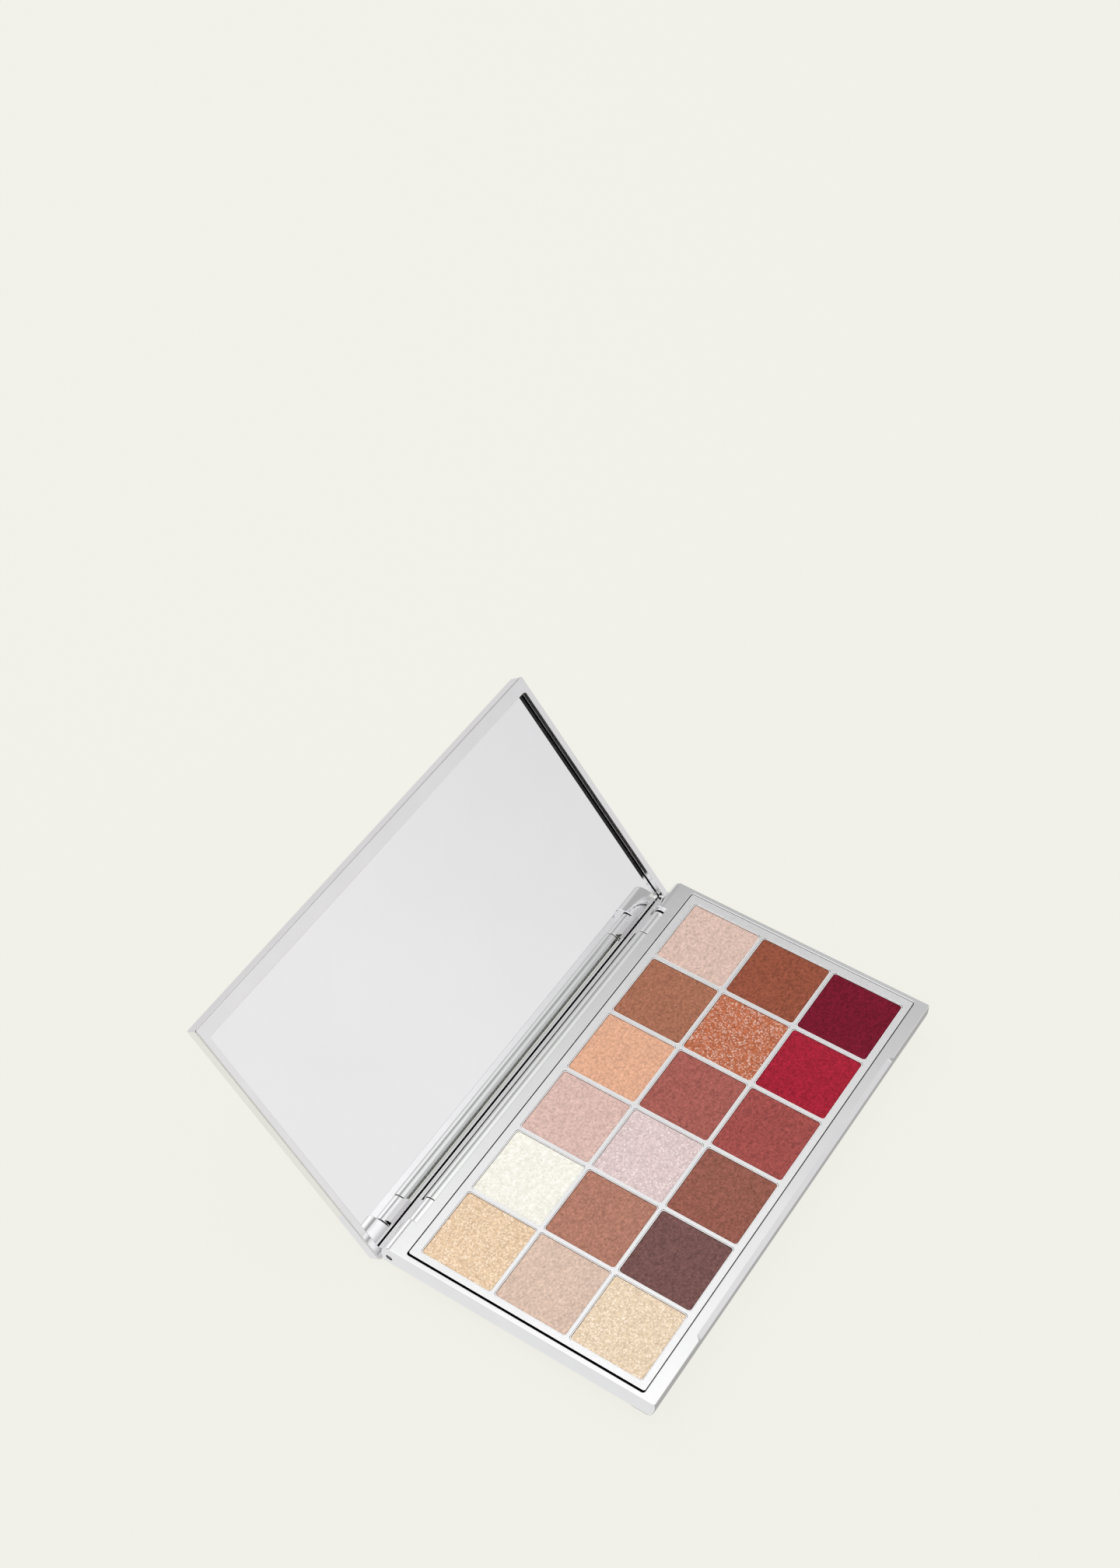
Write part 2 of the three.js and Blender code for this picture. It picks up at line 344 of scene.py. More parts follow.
def polished_metal(name, tint, rough_lo, rough_hi, wave=0.0012, brushed=0.0004, painted_shade_boxes=None):
    m = Mat(name)
    m.set(Metallic=1.0)
    tone = m.noise(9.0, 3.0, 0.6)
    colour = m.mix(m.ramp(tone, 0.0, 1.0), tuple(c * 0.965 for c in tint), tint)
    if painted_shade_boxes:
        # painted shade: near-black metal colour inside the well and the hinge trough, where the gaps round the tray and
        # barrel fall in shadow
        for x0, x1, y0, y1, z1 in painted_shade_boxes:
            inside = m.below(2, z1)
            for k, lo, hi in ((0, x0, x1), (1, y0, y1)):
                inside = m.math("MULTIPLY", inside, m.below(k, hi))
                inside = m.math("MULTIPLY", inside, m.math("SUBTRACT", 1.0, m.below(k, lo)))
            colour = m.mix(inside, colour, (0.10, 0.095, 0.095))
    m.colour(colour)
    m.roughness(m.ramp(m.noise(2.4, 4.0, 0.65), rough_lo, rough_hi))
    wide = m.bump(m.noise(5.0, 1.0, 0.4), wave, 1.0)
    m.bump(m.noise(0.35, 2.0, 0.6, stretch=(14, 1, 1)), brushed, 1.0, under=wide)
    return m.mat


# painted shade: the two boxes below mark the well and the hinge trough, whose inner walls are painted near black
shell_metal = polished_metal("shell_silver", (0.885, 0.885, 0.892), 0.07, 0.15, painted_shade_boxes=((-70.3, 69.88, -37.9, 34.4, 11.45), (-60.9, 60.9, 37.3, 41.2, 11.55)))
lid_metal = polished_metal("lid_silver", (0.870, 0.862, 0.868), 0.08, 0.16)
chrome = polished_metal("hinge_chrome", (0.80, 0.81, 0.80), 0.02, 0.06, wave=0.0006, brushed=0.0002)
pin_metal = polished_metal("pin_steel", (0.34, 0.34, 0.35), 0.25, 0.4, wave=0.0006, brushed=0.001)

# satin metallised tray: fine blasted grain, with painted shade on its outer walls
m = Mat("tray_satin")
m.set(Metallic=1.0)
satin = m.mix(m.ramp(m.noise(6.0, 3.0, 0.6), 0.0, 1.0), (0.91, 0.91, 0.922), (0.945, 0.945, 0.952))
inner = None
for k, lo, hi in ((0, -69.15, 90.0), (1, -37.25, 33.75)):
    for v in (m.below(k, hi), m.math("SUBTRACT", 1.0, m.below(k, lo))):
        inner = v if inner is None else m.math("MULTIPLY", inner, v)
# painted shade: the tray's outer walls below its top are near black, so the gap round the tray reads dark
outer = m.math("MULTIPLY", m.math("SUBTRACT", 1.0, inner), m.below(2, 11.66, 0.04))
m.colour(m.mix(outer, satin, (0.07, 0.066, 0.066)))
m.roughness(m.ramp(m.noise(1.1, 4.0, 0.7), 0.20, 0.30))
m.bump(m.noise(0.16, 3.0, 0.7), 0.0012, 1.0)
tray_metal = m.mat

# thin drawn pans, with painted shade on the walls below the rim
m = Mat("pan_aluminium")
m.set(Metallic=0.35)
rim = m.mix(m.ramp(m.noise(0.8, 3.0, 0.6), 0.0, 1.0), (0.95, 0.945, 0.945), (0.98, 0.98, 0.98))
# painted shade: pan walls below the rim are darker grey, so the powder edge reads shaded
m.colour(m.mix(m.below(2, 11.56, 0.02), rim, (0.42, 0.40, 0.39)))
m.roughness(m.ramp(m.noise(0.5, 3.0, 0.7), 0.22, 0.36))
m.bump(m.noise(0.25, 2.0, 0.6, stretch=(1, 1, 8)), 0.002, 1.0)
pan_metal = m.mat

# silvered mirror glass with the faintest wiping haze
m = Mat("mirror_glass")
m.set(Metallic=1.0)
m.colour(m.mix(m.ramp(m.noise(22.0, 3.0, 0.6, distortion=0.6), 0.0, 1.0), (0.925, 0.923, 0.928), (0.940, 0.938, 0.943)))
m.roughness(m.ramp(m.noise(14.0, 4.0, 0.7, distortion=1.2), 0.0, 0.012, 0.45, 0.75))
mirror_glass = m.mat

# sintered magnets and double-sided adhesive, inside the case
m = Mat("magnet_nickel")
m.set(Metallic=1.0)
m.colour(m.mix(m.ramp(m.noise(0.7, 4.0, 0.7), 0.0, 1.0), (0.42, 0.42, 0.43), (0.58, 0.58, 0.59)))
m.roughness(m.ramp(m.noise(0.4, 3.0, 0.7), 0.25, 0.5))
m.bump(m.noise(0.2, 2.0, 0.6), 0.003, 1.0)
magnet_metal = m.mat

m = Mat("adhesive_film")
m.colour(m.mix(m.ramp(m.noise(1.5, 4.0, 0.6), 0.0, 1.0), (0.72, 0.70, 0.64), (0.82, 0.80, 0.75)))
m.roughness(m.ramp(m.noise(0.9, 3.0, 0.6), 0.45, 0.7))
m.bump(m.noise(0.5, 3.0, 0.6), 0.01, 1.0)
adhesive = m.mat


def powder_material(name, rgb, shimmer=0.0, flake=(1.0, 0.95, 0.88)):
    """Pressed powder: soft clouding, fine streaky grain, and for shimmer shades bright pigment flakes."""
    m = Mat("powder_" + name)
    base = tuple(c * 0.93 for c in lin(rgb))
    shade = lambda f: tuple(min(1.0, c * f) for c in base)
    coarse = 1.0 + 0.95 * (1 - min(1.0, sum(base) / 1.8))
    vary = lambda f: shade(1 + (f - 1) * coarse)
    cloud = m.ramp(m.noise(11.0, 2.0, 0.5, distortion=0.4), 0.0, 1.0, 0.34, 0.66)
    tone = m.mix(cloud, shade(0.93), shade(1.06))
    streak = m.ramp(m.noise(1.15, 3.0, 0.75, stretch=(2.0, 1, 1), distortion=0.5), 0.0, 1.0, 0.34, 0.66)
    tone = m.mix(0.5, tone, m.mix(streak, vary(0.76), vary(1.24)))
    grain = m.ramp(m.noise(0.75, 4.0, 0.85), 0.0, 1.0, 0.36, 0.64)
    tone = m.mix(0.5, tone, m.mix(grain, vary(0.62), vary(1.38)))
    m.set(Specular_IOR_Level=0.10)
    if shimmer > 0:
        sep = m.add("ShaderNodeSeparateColor")
        m.link(m.voronoi(0.35, "Color"), sep.inputs[0])
        amount = m.ramp(sep.outputs[0], 0.0, 1.0, 1.0 - 0.40 * shimmer, 1.0)
        bright = tuple(min(1.0, b * 0.72 + f * 0.42) for b, f in zip(base, flake))
        hollow = m.ramp(sep.outputs[1], 0.0, 0.6 * shimmer, 0.66, 1.0)
        c = m.mix(hollow, tone, shade(0.74))
        m.colour(m.mix(amount, c, bright))
        m.link(m.math("MULTIPLY", m.ramp(sep.outputs[2], 0.10, 0.60, 0.2, 0.9), 0.8 * shimmer), m.bsdf.inputs["Metallic"])
        m.roughness(m.ramp(sep.outputs[0], 0.66, 0.40, 0.2, 1.0))
        first = m.bump(m.voronoi(0.35, "Distance"), 0.022 * shimmer, 0.7)
        m.bump(m.noise(0.2, 3.0, 0.7), 0.014, 0.8, under=first)
    else:
        m.colour(tone)
        m.roughness(m.ramp(grain, 0.80, 0.96, 0.0, 1.0))
        first = m.bump(m.noise(0.9, 2.0, 0.5, stretch=(2, 1, 1)), 0.028, 0.7)
        m.bump(m.noise(0.2, 3.0, 0.75), 0.020, 0.9, under=first)
    return m.mat


# ---------------------------------------------------------------------------
# base shell
# ---------------------------------------------------------------------------
def quarter(r, z):
    return 0.0 if z >= r else r - math.sqrt(r * r - (r - z) ** 2)


def rear_y(z):
    if z >= AXIS_Z:
        return REAR_TOP_Y + REAR_TOP_A * math.sqrt(max(0.0, 1 - ((z - AXIS_Z) / (BASE_H - AXIS_Z)) ** 2))
    return REAR_LOW_Y + REAR_LOW_A * math.sqrt(max(0.0, 1 - ((AXIS_Z - z) / AXIS_Z) ** 2))


EDGE = 0.22
zs = {0.0, BASE_H}
for i in range(1, 30):
    zs.add(FRONT_R * (1 - math.cos(math.radians(3 * i))))
for i in range(0, 18):
    zs.add(AXIS_Z + (BASE_H - AXIS_Z) * math.sin(math.radians(5 * i)))
for i in range(1, 7):
    zs.add(BASE_H - EDGE * (1 - math.cos(math.radians(15 * i))))
zs = sorted(zs)
zs = [z for i, z in enumerate(zs) if i == 0 or z - zs[i - 1] > 0.006]
levels = []
for z in zs:
    over = z - (BASE_H - EDGE)
    edge = 0.0 if over <= 0 else EDGE - math.sqrt(max(0.0, EDGE ** 2 - over ** 2))
    sx = quarter(SIDE_R, z)
    ry = rear_y(z)
    if over > 0:
        ry = max(ry - 0.0, REAR_TOP_Y)
    levels.append((z, rrect(-HALF_L + sx + edge, HALF_L - sx - edge, FRONT_Y + quarter(FRONT_R, z) + edge, ry, CORNER_R + 0.15 * sx, 8)))
shell = loft_z("case_shell", levels)

# tray well with a softened lip
x0, x1, y0, y1, zw = WELL
LIP = 0.16
well = [(zw, rrect(x0, x1, y0, y1, 0.8, 6))]
for i in range(6):
    t = math.pi / 2 * i / 5
    g = LIP * (1 - math.cos(t))
    well.append((BASE_H - LIP + LIP * math.sin(t), rrect(x0 - g, x1 + g, y0 - g, y1 + g, 0.8 + g, 6)))
well.append((BASE_H + 1.0, rrect(x0 - LIP, x1 + LIP, y0 - LIP, y1 + LIP, 0.8 + LIP, 6)))
cut(shell, loft_z("c1", well))
cut(shell, loft_z("c2", [(2.2, rrect(-63, 63, -31.5, 28.5, 3, 6)), (zw + 1, rrect(-63, 63, -31.5, 28.5, 3, 6))]))

# hinge trough: softened lip, round channel, open at the rear
a0 = math.pi - math.acos((AXIS_Y - TROUGH_LIP) / CHANNEL_R)
prof = [(TROUGH_LIP - 0.25, BASE_H + 1.5)]
for i in range(7):
    t = math.pi / 2 * i / 6
    prof.append((TROUGH_LIP - 0.25 * (1 - math.sin(t)), BASE_H - 0.25 * (1 - math.cos(t))))
prof.append((TROUGH_LIP, AXIS_Z + CHANNEL_R * math.sin(a0)))
for i in range(1, 37):
    a = a0 + (1.5 * math.pi - a0) * i / 36
    prof.append((AXIS_Y + CHANNEL_R * math.cos(a), AXIS_Z + CHANNEL_R * math.sin(a)))
prof += [(43.0, AXIS_Z - CHANNEL_R - 2.65), (43.0, BASE_H + 1.5)]
cut(shell, loft_x("c3", [(-TROUGH_HALF, prof), (TROUGH_HALF, prof)]))

# quarter-round along the inner edge of each end block
path = [(TROUGH_LIP - 1.2, BASE_H), (TROUGH_LIP, BASE_H), (REAR_TOP_Y - 0.25, BASE_H)]
for i in range(1, 25):
    b = math.pi / 2 * i / 24
    path.append((REAR_TOP_Y + REAR_TOP_A * math.sin(b), AXIS_Z + (BASE_H - AXIS_Z) * math.cos(b)))
for i in range(1, 17):
    b = math.pi / 2 * i / 16
    path.append((REAR_LOW_Y + REAR_LOW_A * math.cos(b), AXIS_Z - AXIS_Z * math.sin(b)))
path = path[:-1]
normals = []
for i, (y, z) in enumerate(path):
    ya, za = path[max(0, i - 1)]
    yb, zb = path[min(len(path) - 1, i + 1)]
    t = Vector((yb - ya, zb - za)).normalized()
    normals.append((-t.y, t.x) if i > 1 else (0.0, 1.0))
normals = [(ny, nz) if (ny * 0.2 + nz * 0.1 > 0 or ny > 0) else (-ny, -nz) for ny, nz in normals]
E2 = 0.2
for s in (-1, 1):
    sect = [(-0.04, 0.06), (E2 + 0.02, 0.06)]
    for i in range(6):
        t = math.pi / 2 * i / 5
        sect.append((E2 * (1 - math.sin(t)), -E2 * (1 - math.cos(t))))
    sect.append((-0.04, -E2))
    rings = []
    for (y, z), (ny, nz) in zip(path[1:], normals[1:]):
        rings.append([(s * (TROUGH_HALF + u), y + ny * v, z + nz * v) for u, v in sect])
    if s < 0:
        rings = rings[::-1]
    cut(shell, loft("c4", rings))

# finger bevel along the front edge
k = 0.9 / 1.3
wedge = [(FRONT_Y - 1, BASE_H + 1), (FRONT_Y - 1, BASE_H - 0.9 - k), (FRONT_Y + 1.3 + 1 / k, BASE_H + 1)]
depth = [(51.07, 0.0)] + [(51.07 - 1.9 * i / 7, 0.5 - 0.5 * math.cos(math.pi * i / 7)) for i in range(1, 8)]
lines = []
for x, f in depth:
    lift = (1 - f) * 0.97
    lines.append((x, [(y, z + lift) for y, z in wedge]))
cut(shell, loft_x("c5", [(-x, w) for x, w in lines] + [(x, w) for x, w in reversed(lines)]))

# pin holes with a small countersink, magnet pockets
for s in (-1, 1):
    secs = [(TROUGH_HALF - 1, circle(1.0, 48, AXIS_Y, AXIS_Z)), (HALF_L - 0.14, circle(1.0, 48, AXIS_Y, AXIS_Z)), (HALF_L + 0.3, circle(1.44, 48, AXIS_Y, AXIS_Z))]
    if s < 0:
        secs = [(-x, p) for x, p in reversed(secs)]
    cut(shell, loft_x("c6", secs))
    px0, px1 = s * 40 - 5.3, s * 40 + 5.3
    cut(shell, loft_z("c7", [(8.9, rrect(px0, px1, -40.1, -37.1, 0.2, 2)), (11.5, rrect(px0, px1, -40.1, -37.1, 0.2, 2))]))
finish_piece(shell, "base", shell_metal, ("base_shell",), sharp=28)


# ---------------------------------------------------------------------------
# pan tray: one plate with eighteen rounded pockets
# ---------------------------------------------------------------------------
def build_tray():
    verts, faces, index = [], [], {}

    def vert(p):
        key = tuple(round(c, 5) for c in p)
        if key not in index:
            index[key] = len(verts)
            verts.append(p)
        return index[key]

    seg = 7
    n = 4 * (seg + 1)
    z1 = tray_hi.z
    pocket_z = box_mm("pan_r1c1")[0].z
    e = 0.06
    gx = [(c - 3) * PITCH for c in range(7)]
    gy = [GRID_Y + (r - 1.5) * PITCH for r in range(4)]
    for r in range(3):
        for c in range(6):
            cx, cy = (c - 2.5) * PITCH, GRID_Y + (r - 1) * PITCH
            h = 10.9
            rings = []
            for ins, drop in fillet(e, 5):
                g = ins
                rings.append([vert((x, y, z1 - drop)) for x, y in rrect(cx - h - g, cx + h + g, cy - h - g, cy + h + g, 0.95 + g, seg)])
            rings.append([vert((x, y, pocket_z)) for x, y in rrect(cx - h, cx + h, cy - h, cy + h, 0.95, seg)])
            for a, b in zip(rings, rings[1:]):
                for i in range(n):
                    j = (i + 1) % n
                    faces.append((a[i], b[i], b[j], a[j]))
            faces.append(tuple(rings[-1]))
            corner = [vert((gx[c + 1], gy[r + 1], z1)), vert((gx[c], gy[r + 1], z1)), vert((gx[c], gy[r], z1)), vert((gx[c + 1], gy[r], z1))]
            for q in range(4):
                arc = rings[0][q * (seg + 1):(q + 1) * (seg + 1)]
                nxt = rings[0][((q + 1) % 4) * (seg + 1)]
                for i in range(seg):
                    faces.append((corner[q], arc[i + 1], arc[i]))
                faces.append((corner[q], corner[(q + 1) % 4], nxt, arc[-1]))
    # outer border and walls
    x0, x1, y0, y1 = tray_lo.x + 0.2, tray_hi.x + 0.42, tray_lo.y + 0.05, tray_hi.y
    rings = []
    for ins, drop in fillet(0.12, 5):
        rings.append([vert((x, y, z1 - drop)) for x, y in rrect(x0 + ins, x1 - ins, y0 + ins, y1 - ins, 0.6 - ins * 0.5, seg)])
    rings.append([vert((x, y, tray_lo.z)) for x, y in rrect(x0, x1, y0, y1, 0.6, seg)])
    for a, b in zip(rings, rings[1:]):
        for i in range(n):
            j = (i + 1) % n
            faces.append((a[j], b[j], b[i], a[i]))
    faces.append(tuple(reversed(rings[-1])))
    side = [
        [vert((x, gy[3], z1)) for x in reversed(gx)],
        [vert((gx[0], y, z1)) for y in reversed(gy)],
        [vert((x, gy[0], z1)) for x in gx],
        [vert((gx[6], y, z1)) for y in gy],
    ]
    for q in range(4):
        arc = rings[0][q * (seg + 1):(q + 1) * (seg + 1)]
        nxt = rings[0][((q + 1) % 4) * (seg + 1)]
        g = side[q][0]
        for i in range(seg):
            faces.append((g, arc[i], arc[i + 1]))
        faces.append((arc[-1], nxt) + tuple(reversed(side[q])))
    return new_object("tray_plate", verts, faces)


finish_piece(build_tray(), "base", tray_metal, ("pan_tray",))


# ---------------------------------------------------------------------------
# pans and pressed powders
# ---------------------------------------------------------------------------
SHADES = {
    "r1c1_gold": ((238, 205, 171), 0.85),
    "r1c2_ivory": ((255, 251, 232), 0.0),
    "r1c3_mauve": ((216, 184, 175), 0.0),
    "r1c4_peach": ((224, 171, 142), 0.0),
    "r1c5_umber": ((165, 109, 86), 0.0),
    "r1c6_blush": ((216, 188, 175), 0.0),
    "r2c1_beige": ((219, 192, 175), 0.0),
    "r2c2_sienna": ((177, 124, 106), 0.0),
    "r2c3_silver_pink": ((223, 202, 201), 0.45),
    "r2c4_terracotta": ((164, 94, 86), 0.0),
    "r2c5_copper": ((191, 110, 77), 0.9),
    "r2c6_chestnut": ((147, 82, 62), 0.0),
    "r3c1_champagne": ((240, 214, 185), 0.8),
    "r3c2_plum": ((119, 84, 81), 0.0),
    "r3c3_cocoa": ((148, 92, 79), 0.0),
    "r3c4_brick": ((158, 79, 75), 0.0),
    "r3c5_crimson": ((162, 35, 54), 0.0),
    "r3c6_burgundy": ((116, 24, 44), 0.0),
}


def squircle(x, y, h, r):
    """Moves a point of a square grid onto a square with round corners."""
    ax, ay = abs(x) - (h - r), abs(y) - (h - r)
    if ax <= 0 or ay <= 0:
        return x, y
    u, v = ax / r, ay / r
    nu, nv = u * math.sqrt(1 - v * v / 2), v * math.sqrt(1 - u * u / 2)
    return math.copysign(h - r + nu * r, x), math.copysign(h - r + nv * r, y)


def build_powder(tag, n=64):
    """A pressed cake: faintly pillowed and clouded top, worn edge, straight sides."""
    lo, hi = box_mm("powder_" + tag)
    cx, cy, h = (lo.x + hi.x) / 2, (lo.y + hi.y) / 2, (hi.x - lo.x) / 2
    e, r = 0.14, 0.7
    verts, faces = [], []
    hin = h - e
    # grid lines gather near the rim so that corners and edge wear are smooth
    line = []
    for i in range(n + 1):
        t = 2 * i / n - 1
        line.append(hin * (0.82 * t + 0.18 * math.sin(t * math.pi / 2)))
    for j in range(n + 1):
        for i in range(n + 1):
            x, y = squircle(line[i], line[j], hin, r - e * 0.4)
            p = Vector((cx + x, cy + y, 0.0))
            soft = noise.noise(p * 0.16) * 0.022 + noise.noise(p * 0.55 + Vector((7, 3, 1))) * 0.010
            d = min(hin - abs(x), hin - abs(y))
            crumb = max(0.0, noise.noise(p * 1.5 + Vector((2, 9, 4))) - 0.12) * 0.12 * math.exp(-d / 0.35)
            edge = 0.03 * math.exp(-d / 0.5)
            verts.append((cx + x, cy + y, min(hi.z, hi.z - 0.018 + soft - crumb - edge)))
    w = n + 1
    for j in range(n):
        for i in range(n):
            a = j * w + i
            faces.append((a, a + 1, a + 1 + w, a + w))
    rim = [i for i in range(w)] + [j * w + n for j in range(1, w)] + [n * w + i for i in range(n - 1, -1, -1)] + [j * w for j in range(n - 1, 0, -1)]
    prev = rim
    m = len(rim)
    for out, drop in ((0.6, 0.035), (1.0, 0.13), (1.0, None)):
        ring = []
        for k in rim:
            x, y, z = verts[k]
            dx, dy = x - cx, y - cy
            f = (hin + e * out) / hin
            nz = lo.z if drop is None else z - drop
            ring.append(len(verts))
            verts.append((cx + dx * f, cy + dy * f, nz))
        for i in range(m):
            j = (i + 1) % m
            faces.append((prev[j], prev[i], ring[i], ring[j]))
        prev = ring
    faces.append(tuple(reversed(prev)))
    return new_object("cake_" + tag, verts, faces)


for tag, (rgb, shimmer) in SHADES.items():
    shade = tag.split("_", 1)[1]
    cake = build_powder(tag)
    finish_piece(cake, "base", powder_material(shade, rgb, shimmer), ("powder_" + tag,), sharp=60, weighted=False)


def dress(node, material, width=0.0, segments=2):
    """A CAD node whose shape is right keeps it, with soft edges and a better material."""
    o = frame["nodes"][node]
    o.data.materials.clear()
    o.data.materials.append(material)
    w = o.modifiers.new("weld", "WELD")
    w.merge_threshold = 1e-6
    if width:
        b = o.modifiers.new("soft_edge", "BEVEL")
        b.width = width * MM
        b.segments = segments
        b.limit_method = "ANGLE"
        b.angle_limit = math.radians(40)
    for p in o.data.polygons:
        p.use_smooth = True
    s = o.modifiers.new("normals", "WEIGHTED_NORMAL")
    s.keep_sharp = True


for r in range(1, 4):
    for c in range(1, 7):
        dress(f"pan_r{r}c{c}", pan_metal, 0.02)
for s in ("left", "right"):
    dress(f"hinge_pin_{s}", pin_metal, 0.15, 3)
    dress(f"base_magnet_{s}", magnet_metal, 0.12)
    dress(f"lid_magnet_{s}", magnet_metal, 0.12)
dress("tray_adhesive", adhesive, 0.03)
dress("mirror_adhesive", adhesive, 0.03)

# ---------------------------------------------------------------------------
# hinge barrel
# ---------------------------------------------------------------------------
half = barrel_hi.x
rad = barrel_hi.z - AXIS_Z
barrel = rod("hinge_bar", rad, -half - 0.12, half + 0.12, AXIS_Y, AXIS_Z, n=128, e=0.1, seg=8, e1=0.45)
foot = loft_z("foot", [(barrel_lo.z, rrect(-half + 1, half - 1, AXIS_Y - 0.6, AXIS_Y + 0.4, 0.2, 3)), (6.0, rrect(-half + 1, half - 1, AXIS_Y - 0.6, AXIS_Y + 0.4, 0.2, 3))])
join(barrel, foot)
for s in (-1, 1):
    xs = (43.9, half + 2) if s > 0 else (-half - 2, -43.9)
    cut(barrel, loft_x("c8", [(x, circle(1.0, 48, AXIS_Y, AXIS_Z)) for x in xs]))
finish_piece(barrel, "base", chrome, ("hinge_barrel",))

# ---------------------------------------------------------------------------
# lid, made in its own shut frame
# ---------------------------------------------------------------------------
LY0, LY1 = cover_lo.y, cover_hi.y           # free end, hinge end
LIP_T = 0.45
OPX = glass_hi.x + 0.3
OPY0, OPY1 = glass_lo.y - 0.3, glass_hi.y + 0.3
RIM = frame_hi.z - 3.5                      # rim plane, lid shut

lev = []
for ins, drop in fillet(0.14, 5):
    lev.append((RIM + drop, rrect(-HALF_L + ins, HALF_L - ins, LY0 + ins, LY1 - ins, CORNER_R - ins * 0.5, 8)))
lev.append((RIM + LIP_T - 0.05, rrect(-HALF_L, HALF_L, LY0, LY1, CORNER_R, 8)))
lev.append((RIM + LIP_T, rrect(-HALF_L + 0.05, HALF_L - 0.05, LY0 + 0.05, LY1 - 0.05, CORNER_R, 8)))
lid_frame = loft_z("lid_surround", lev)
join(lid_frame, loft_z("lip", [(z, rrect(-HALF_L + 1, HALF_L - 1, LY0 + 1, LY1 - 1, 0.5, 4)) for z in (RIM + LIP_T / 2, RIM + 3.5)]))
opening = [(RIM - 1.0, rrect(-OPX - 0.14, OPX + 0.14, OPY0 - 0.14, OPY1 + 0.14, 0.74, 6))]
for i in range(6):
    t = math.pi / 2 * i / 5
    g = 0.14 * (1 - math.sin(t))
    opening.append((RIM + 0.14 * (1 - math.cos(t)), rrect(-OPX - g, OPX + g, OPY0 - g, OPY1 + g, 0.6 + g, 6)))
opening.append((RIM + 5, rrect(-OPX, OPX, OPY0, OPY1, 0.6, 6)))
cut(lid_frame, loft_z("c9", opening))
for s in (-1, 1):
    xa, xb = (52.2, 60.6) if s > 0 else (-60.6, -52.2)
    arm = [(y, z) for y, z in ((-1.5, 0.0), (LY1, 0.0), (LY1, RIM + 0.3), (-1.5, RIM + 0.3))]
    join(lid_frame, loft_x("arm", [(xa + 0.2, arm), (xb - 0.2, arm)]))
    join(lid_frame, rod("knuckle", 2.4, xa, xb, 0, 0, n=96, e=0.12))
    cut(lid_frame, loft_x("c10", [(xa - 1, circle(1.0, 48)), (xb + 1, circle(1.0, 48))]))
    mx0, mx1 = s * 40 - 5.3, s * 40 + 5.3
    cut(lid_frame, loft_z("c11", [(RIM + 0.75, rrect(mx0, mx1, LY0 + 1.4, LY0 + 3.4, 0.2, 2)), (RIM + 5, rrect(mx0, mx1, LY0 + 1.4, LY0 + 3.4, 0.2, 2))]))
finish_piece(lid_frame, "lid", lid_metal, ("lid_frame",), lid=True)

ztop = cover_hi.z
lev = [(cover_lo.z, rrect(-HALF_L + 0.08, HALF_L - 0.08, LY0 + 0.08, LY1 - 0.08, CORNER_R, 8)), (cover_lo.z + 0.08, rrect(-HALF_L, HALF_L, LY0, LY1, CORNER_R, 8))]
for i in range(13):
    t = math.pi / 2 * i / 12
    g = 0.8 * (1 - math.cos(t))
    lev.append((ztop - 0.8 + 0.8 * math.sin(t), rrect(-HALF_L + g, HALF_L - g, LY0 + g, LY1 - g, CORNER_R + 0.15 * g, 8)))
cover = loft_z("lid_outer_cover", lev)
cut(cover, loft_z("c12", [(RIM, rrect(-HALF_L + 0.7, HALF_L - 0.7, LY0 + 0.7, LY1 - 0.7, 0.6, 6)), (RIM + 3.8, rrect(-HALF_L + 0.7, HALF_L - 0.7, LY0 + 0.7, LY1 - 0.7, 0.6, 6))]))
finish_piece(cover, "lid", lid_metal, ("lid_cover",), lid=True)

gl, gh = glass_lo, glass_hi
lev = [(gl.z, rrect(gl.x + 0.12, gh.x - 0.12, gl.y + 0.12, gh.y - 0.12, 0.3, 6)), (gl.z + 0.12, rrect(gl.x, gh.x, gl.y, gh.y, 0.4, 6)),
       (gh.z - 0.12, rrect(gl.x, gh.x, gl.y, gh.y, 0.4, 6)), (gh.z, rrect(gl.x + 0.12, gh.x - 0.12, gl.y + 0.12, gh.y - 0.12, 0.3, 6))]
glass = loft_z("lid_mirror", lev)
finish_piece(glass, "lid", mirror_glass, ("mirror",), lid=True, sharp=20)

# ---------------------------------------------------------------------------
# floor, light, camera
# ---------------------------------------------------------------------------
fm = bpy.data.materials.new("floor_paper")
fm.use_nodes = True
nt = fm.node_tree
nt.nodes.clear()
out = nt.nodes.new("ShaderNodeOutputMaterial")
mixs = nt.nodes.new("ShaderNodeMixShader")
dif = nt.nodes.new("ShaderNodeBsdfDiffuse")
emi = nt.nodes.new("ShaderNodeEmission")
dif.inputs["Color"].default_value = (0.86, 0.86, 0.80, 1)
emi.inputs["Color"].default_value = (0.875, 0.875, 0.811, 1)
emi.inputs["Strength"].default_value = 1.0
mixs.inputs[0].default_value = 0.95
nt.links.new(dif.outputs[0], mixs.inputs[1])
nt.links.new(emi.outputs[0], mixs.inputs[2])
nt.links.new(mixs.outputs[0], out.inputs[0])
R = 6.0
floor = new_object("floor", [(-R, -R, -0.0002), (R, -R, -0.0002), (R, R, -0.0002), (-R, R, -0.0002)], [(0, 1, 2, 3)])
floor.data.materials.append(fm)
